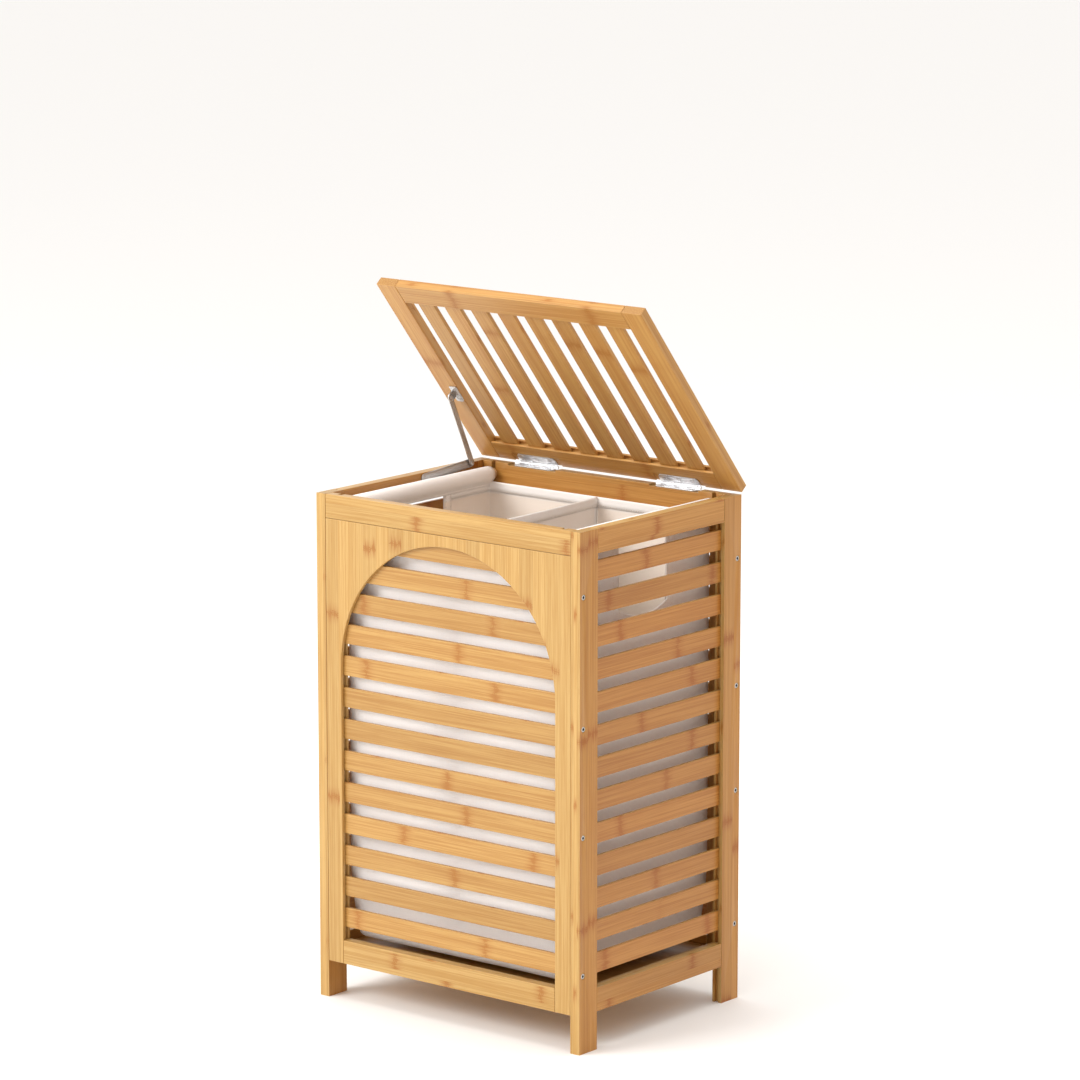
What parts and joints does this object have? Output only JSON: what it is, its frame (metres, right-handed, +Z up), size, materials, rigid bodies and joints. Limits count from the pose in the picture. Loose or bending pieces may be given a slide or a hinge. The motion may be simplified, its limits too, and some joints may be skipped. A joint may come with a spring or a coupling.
{
  "type": "laundry sorter",
  "caption": "Bamboo laundry sorter with slatted panels, an arched front, a lift-up slatted lid on a folding stay and a two-compartment fabric liner.",
  "frame": {"origin": "on the floor, under the middle of the box that the object fills with its lid open", "axes": "+Z up, -Y towards the arched front, +X to the right of someone who faces the front"},
  "size_m": [0.414, 0.3284, 0.8934],
  "materials": {
    "bamboo": "satin clear lacquer on bamboo, strips and node marks",
    "slat_bamboo": "satin clear lacquer on bamboo slats",
    "lid_bamboo": "satin clear lacquer on bamboo",
    "liner_fabric": "plain woven off-white polyester-cotton, matt",
    "rod_wood": "plain sanded wood",
    "hinge_metal": "bright plated steel",
    "stay_steel": "plain zinc-plated steel"
  },
  "bodies": {
    "carcass": {"back_bottom_rail": "bamboo", "back_left_stile": "bamboo", "back_right_stile": "bamboo", "back_slats": "slat_bamboo", "back_top_rail": "bamboo", "bottom_board": "bamboo", "front_arch_frame": "bamboo", "front_bottom_rail": "bamboo", "front_slat_1": "slat_bamboo", "front_slat_10": "slat_bamboo", "front_slat_11": "slat_bamboo", "front_slat_12": "slat_bamboo", "front_slat_13": "slat_bamboo", "front_slat_2": "slat_bamboo", "front_slat_3": "slat_bamboo", "front_slat_4": "slat_bamboo", "front_slat_5": "slat_bamboo", "front_slat_6": "slat_bamboo", "front_slat_7": "slat_bamboo", "front_slat_8": "slat_bamboo", "front_slat_9": "slat_bamboo", "front_top_rail": "bamboo", "left_back_post": "bamboo", "left_bottom_rail": "bamboo", "left_front_post": "bamboo", "left_hinge_carcass_leaf": "hinge_metal", "left_hinge_pin": "hinge_metal", "left_liner_rod": "rod_wood", "left_slats": "slat_bamboo", "left_top_rail": "bamboo", "liner_bag": "liner_fabric", "right_back_post": "bamboo", "right_bottom_rail": "bamboo", "right_front_post": "bamboo", "right_hinge_carcass_leaf": "hinge_metal", "right_hinge_pin": "hinge_metal", "right_liner_rod": "rod_wood", "right_slats": "slat_bamboo", "right_top_rail": "bamboo", "stay_carcass_screw": "stay_steel"},
    "lid": {"lid_back_rail": "lid_bamboo", "lid_front_rail": "lid_bamboo", "lid_left_stile": "lid_bamboo", "lid_right_stile": "lid_bamboo", "lid_slat_1": "lid_bamboo", "lid_slat_2": "lid_bamboo", "lid_slat_3": "lid_bamboo", "lid_slat_4": "lid_bamboo", "lid_slat_5": "lid_bamboo", "lid_slat_6": "lid_bamboo", "lid_slat_7": "lid_bamboo", "lid_slat_8": "lid_bamboo", "left_hinge_lid_leaf": "hinge_metal", "right_hinge_lid_leaf": "hinge_metal", "stay_lid_bracket": "stay_steel", "stay_lid_rivet": "stay_steel"},
    "stay_upper": {"stay_upper_arm": "stay_steel", "stay_elbow_rivet": "stay_steel"},
    "stay_lower": {"stay_lower_arm": "stay_steel"}
  },
  "joints": [
    {"name": "lid_hinge", "type": "hinge", "parent": "carcass", "child": "lid", "pos_m": [0, 0.1561, 0.64], "axis": [1, 0, 0], "range_deg": [0, 50]},
    {"name": "stay_upper_pivot", "type": "hinge", "parent": "lid", "child": "stay_upper", "pos_m": [-0.1895, 0.07116, 0.73034], "axis": [1, 0, 0], "range_deg": [-166, 0]},
    {"name": "stay_lower_pivot", "type": "hinge", "parent": "carcass", "child": "stay_lower", "pos_m": [-0.192, 0.0233, 0.633], "axis": [1, 0, 0], "range_deg": [-185, 0]}
  ],
  "couplings": [
    {"joint": "stay_upper_pivot", "follows": "lid_hinge", "ratio": -3.3077},
    {"joint": "stay_lower_pivot", "follows": "lid_hinge", "ratio": -3.6881}
  ]
}
